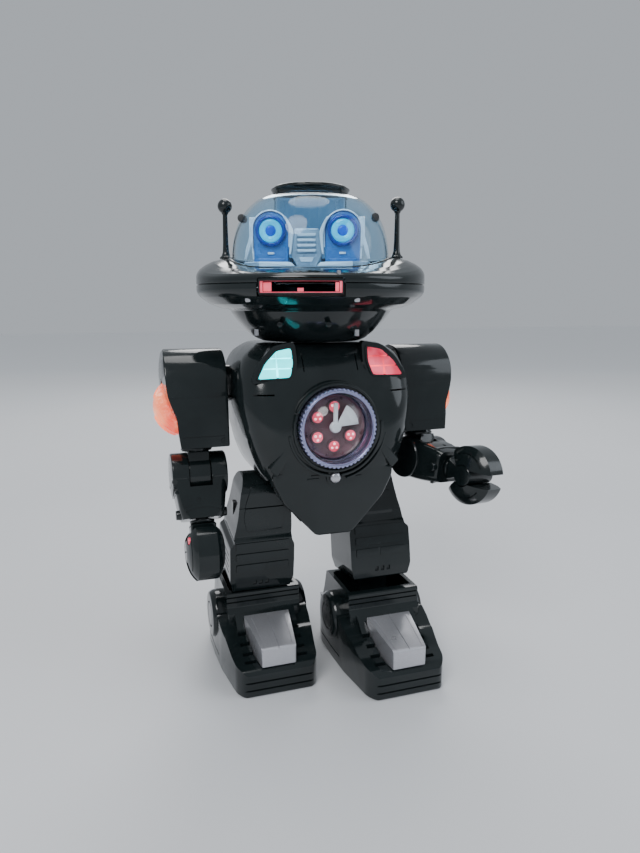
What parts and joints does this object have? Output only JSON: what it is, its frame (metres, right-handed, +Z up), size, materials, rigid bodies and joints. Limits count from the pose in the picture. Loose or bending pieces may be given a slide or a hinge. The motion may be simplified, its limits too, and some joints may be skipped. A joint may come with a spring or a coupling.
{
  "type": "walking humanoid robot toy",
  "caption": "Remote-controlled walking toy robot with a saucer head under a clear dome, lit eyes and chest, claw hands, stepping legs and broad feet.",
  "frame": {"origin": "middle of the bounding box, on the floor under the feet", "axes": "+Z up, the chest faces -Y, +X is the robot's left side"},
  "size_m": [0.2486, 0.1854, 0.37],
  "materials": {
    "shell": "moulded glossy black plastic with a faint green cast",
    "silver_paint": "fine silver paint on moulded plastic, satin",
    "dome_tint": "clear blue-smoke plastic, polished",
    "clear_plastic": "clear polished plastic",
    "lamp_cyan": "cyan lamp, lit",
    "lamp_red": "red lamp, lit",
    "lens_orange": "ribbed orange-red lens, lit",
    "bezel_blue": "deep blue gloss",
    "inner_frame": "plain dark moulded plastic",
    "white_plastic": "pale satin plastic",
    "steel": "plain bright steel",
    "circuit_board": "green board with dark parts",
    "battery_wrap": "plain wrap, no lettering",
    "foam": "closed-cell foam",
    "roller_rubber": "moulded rubber"
  },
  "bodies": {
    "torso": {"torso_front_shell": "shell", "torso_rear_shell": "shell", "chest_lamp_right": "lamp_cyan", "chest_lamp_left": "lamp_red", "belly_ring": "silver_paint", "belly_dome": "clear_plastic", "belly_reflector": "lamp_red", "hip_shaft": "steel", "shoulder_axle": "steel", "walk_gearbox": "inner_frame", "walk_motor": "steel", "main_board": "circuit_board", "battery_1": "battery_wrap", "battery_2": "battery_wrap", "speaker": "inner_frame", "neck_motor": "steel"},
    "light_rotor": {"light_rotor": "white_plastic"},
    "chest_button": {"chest_button": "silver_paint"},
    "battery_door": {"battery_door": "shell"},
    "power_switch": {"power_switch": "silver_paint"},
    "head": {"head_bowl": "shell", "head_brim": "shell", "mouth_frame": "lamp_red", "dome": "dome_tint", "magazine": "dome_tint", "disc_1": "foam", "disc_2": "foam", "launch_tray": "inner_frame", "hatch_ring": "shell", "face_plate": "silver_paint", "eye_bezel_right": "bezel_blue", "eye_bezel_left": "bezel_blue", "eye_lamp_right": "lamp_cyan", "eye_lamp_left": "lamp_cyan", "antenna_right": "shell", "antenna_left": "shell"},
    "disc_striker": {"disc_striker": "inner_frame"},
    "hatch_lid": {"hatch_lid": "shell"},
    "shoulder_right": {"shoulder_hood_right": "shell", "shoulder_lens_right": "lens_orange"},
    "upper_arm_right": {"upper_arm_right": "shell"},
    "forearm_right": {"forearm_right": "shell"},
    "hand_right": {"wrist_right": "shell"},
    "jaw_upper_right": {"jaw_upper_right": "shell"},
    "jaw_lower_right": {"jaw_lower_right": "shell"},
    "leg_right": {"leg_right": "shell"},
    "foot_right": {"foot_right": "shell", "toe_box_right": "silver_paint"},
    "roller_right": {"foot_roller_right": "roller_rubber"},
    "shoulder_left": {"shoulder_hood_left": "shell", "shoulder_lens_left": "lens_orange"},
    "upper_arm_left": {"upper_arm_left": "shell"},
    "forearm_left": {"forearm_left": "shell"},
    "hand_left": {"wrist_left": "shell"},
    "jaw_upper_left": {"jaw_upper_left": "shell"},
    "jaw_lower_left": {"jaw_lower_left": "shell"},
    "leg_left": {"leg_left": "shell"},
    "foot_left": {"foot_left": "shell", "toe_box_left": "silver_paint"},
    "roller_left": {"foot_roller_left": "roller_rubber"}
  },
  "joints": [
    {"name": "head_turn", "type": "hinge", "parent": "torso", "child": "head", "pos_m": [-0.00193, 0.00571, 0.257], "axis": [0, 0, 1], "range_deg": [-38, 82]},
    {"name": "hatch_lid_hinge", "type": "hinge", "parent": "head", "child": "hatch_lid", "pos_m": [0.00833, 0.03112, 0.3686], "axis": [-0.9272, 0.3746, 0], "range_deg": [0, 110]},
    {"name": "striker_slide", "type": "slide", "parent": "head", "child": "disc_striker", "axis": [-0.3746, -0.9272, 0], "range_m": [0, 0.022]},
    {"name": "light_rotor_spin", "type": "hinge", "parent": "torso", "child": "light_rotor", "pos_m": [-0.00193, -0.04929, 0.197], "axis": [0, 1, 0], "continuous": true},
    {"name": "chest_button_press", "type": "slide", "parent": "torso", "child": "chest_button", "axis": [0, 1, 0], "range_m": [0, 0.0015], "stiffness_N_per_m": 400},
    {"name": "power_switch_slide", "type": "slide", "parent": "torso", "child": "power_switch", "axis": [1, 0, 0], "range_m": [0, 0.005]},
    {"name": "battery_door_hinge", "type": "hinge", "parent": "torso", "child": "battery_door", "pos_m": [-0.00193, 0.04691, 0.16935], "axis": [-1, 0, 0], "range_deg": [0, 100]},
    {"name": "shoulder_swing_right", "type": "hinge", "parent": "torso", "child": "shoulder_right", "pos_m": [-0.09393, 0.01271, 0.224], "axis": [-1, 0, 0], "range_deg": [-50, 60]},
    {"name": "arm_twist_right", "type": "hinge", "parent": "shoulder_right", "child": "upper_arm_right", "pos_m": [-0.09393, 0.00681, 0.19052], "axis": [0, -0.1736, -0.9848], "range_deg": [-20, 48]},
    {"name": "elbow_right", "type": "hinge", "parent": "upper_arm_right", "child": "forearm_right", "pos_m": [-0.09393, 0.0009, 0.15703], "axis": [-1, 0, 0], "range_deg": [-14, 76]},
    {"name": "wrist_turn_right", "type": "hinge", "parent": "forearm_right", "child": "hand_right", "pos_m": [-0.09393, -0.01333, 0.12506], "axis": [0, -0.4067, -0.9135], "range_deg": [-30, 30]},
    {"name": "jaw_upper_right_open", "type": "hinge", "parent": "hand_right", "child": "jaw_upper_right", "pos_m": [-0.09393, -0.02269, 0.10405], "axis": [-1, 0, 0], "range_deg": [-12, 18]},
    {"name": "jaw_lower_right_open", "type": "hinge", "parent": "hand_right", "child": "jaw_lower_right", "pos_m": [-0.09393, -0.02269, 0.10405], "axis": [1, 0, 0], "range_deg": [-12, 18]},
    {"name": "shoulder_swing_left", "type": "hinge", "parent": "torso", "child": "shoulder_left", "pos_m": [0.09007, 0.01271, 0.224], "axis": [-1, 0, 0], "range_deg": [-56, 54]},
    {"name": "arm_twist_left", "type": "hinge", "parent": "shoulder_left", "child": "upper_arm_left", "pos_m": [0.09007, 0.00334, 0.19132], "axis": [0, 0.2756, 0.9613], "range_deg": [-38, 30]},
    {"name": "elbow_left", "type": "hinge", "parent": "upper_arm_left", "child": "forearm_left", "pos_m": [0.09007, -0.00603, 0.15863], "axis": [-0.9455, -0.313, 0.0897], "range_deg": [-66, 20]},
    {"name": "wrist_turn_left", "type": "hinge", "parent": "forearm_left", "child": "hand_left", "pos_m": [0.10084, -0.03925, 0.1563], "axis": [0.3078, -0.9491, -0.0665], "range_deg": [-30, 30]},
    {"name": "jaw_upper_left_open", "type": "hinge", "parent": "hand_left", "child": "jaw_upper_left", "pos_m": [0.10792, -0.06108, 0.15477], "axis": [-0.9455, -0.313, 0.0897], "range_deg": [-12, 18]},
    {"name": "jaw_lower_left_open", "type": "hinge", "parent": "hand_left", "child": "jaw_lower_left", "pos_m": [0.10792, -0.06108, 0.15477], "axis": [0.9455, 0.313, -0.0897], "range_deg": [-12, 18]},
    {"name": "hip_left", "type": "hinge", "parent": "torso", "child": "leg_left", "pos_m": [0.04307, 0.00071, 0.14], "axis": [1, 0, 0], "range_deg": [0, 17.4]},
    {"name": "ankle_left", "type": "hinge", "parent": "leg_left", "child": "foot_left", "pos_m": [0.04307, -0.01566, 0.033], "axis": [1, 0, 0], "range_deg": [-17.4, 0]},
    {"name": "roller_left_spin", "type": "hinge", "parent": "foot_left", "child": "roller_left", "pos_m": [0.04307, -0.03766, 0.0064], "axis": [1, 0, 0], "continuous": true},
    {"name": "hip_right", "type": "hinge", "parent": "torso", "child": "leg_right", "pos_m": [-0.04693, 0.00071, 0.14], "axis": [1, 0, 0], "range_deg": [-17.4, 0]},
    {"name": "ankle_right", "type": "hinge", "parent": "leg_right", "child": "foot_right", "pos_m": [-0.04693, 0.01709, 0.033], "axis": [1, 0, 0], "range_deg": [0, 17.4]},
    {"name": "roller_right_spin", "type": "hinge", "parent": "foot_right", "child": "roller_right", "pos_m": [-0.04693, -0.00491, 0.0064], "axis": [1, 0, 0], "continuous": true}
  ],
  "couplings": [
    {"joint": "hip_right", "follows": "hip_left", "ratio": -1},
    {"joint": "ankle_left", "follows": "hip_left", "ratio": -1},
    {"joint": "ankle_right", "follows": "hip_left", "ratio": 1},
    {"joint": "jaw_lower_right_open", "follows": "jaw_upper_right_open", "ratio": 1},
    {"joint": "jaw_lower_left_open", "follows": "jaw_upper_left_open", "ratio": 1}
  ]
}
